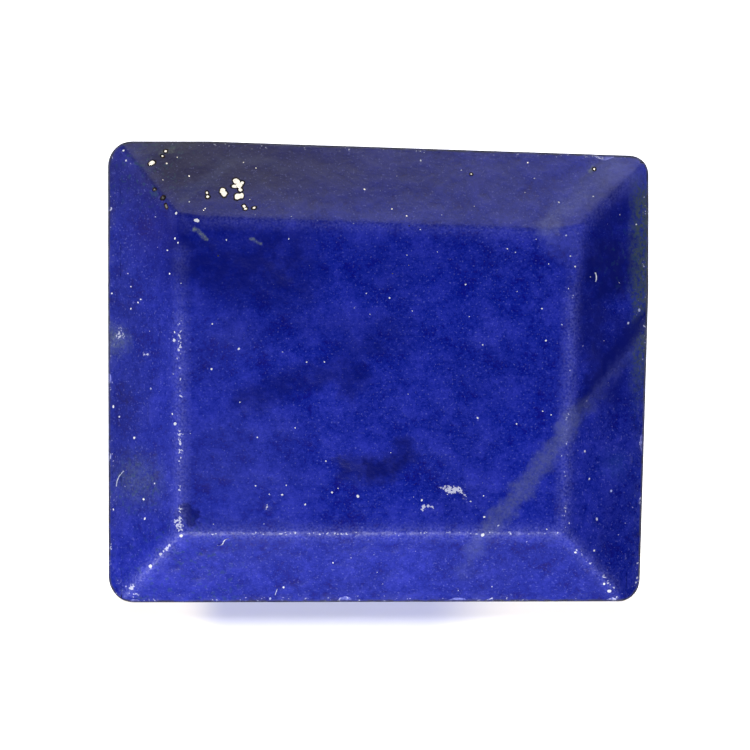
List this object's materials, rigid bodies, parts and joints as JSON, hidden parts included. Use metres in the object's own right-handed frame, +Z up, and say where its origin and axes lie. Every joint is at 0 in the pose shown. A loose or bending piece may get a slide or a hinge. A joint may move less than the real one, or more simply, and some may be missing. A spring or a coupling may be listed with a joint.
{
  "type": "cut and polished lapis lazuli stone",
  "caption": "Rectangular polished blue stone for a ring or pendant: flat table, sloping crown facets, upright girdle, rounded corners, and a back that tapers to a flat base.",
  "frame": {"origin": "middle of the base's plane, under the middle of the girdle's outline", "axes": "+X along the stone's length, towards the edge that leans in; +Y towards the far edge, which falls away; +Z up, from the base to the table"},
  "size_m": [0.014, 0.012, 0.0033],
  "materials": {
    "polished_lapis": "polished",
    "pyrite": "polished",
    "lint": "matte"
  },
  "bodies": {
    "root": {"stone": "polished_lapis"}
  },
  "joints": []
}
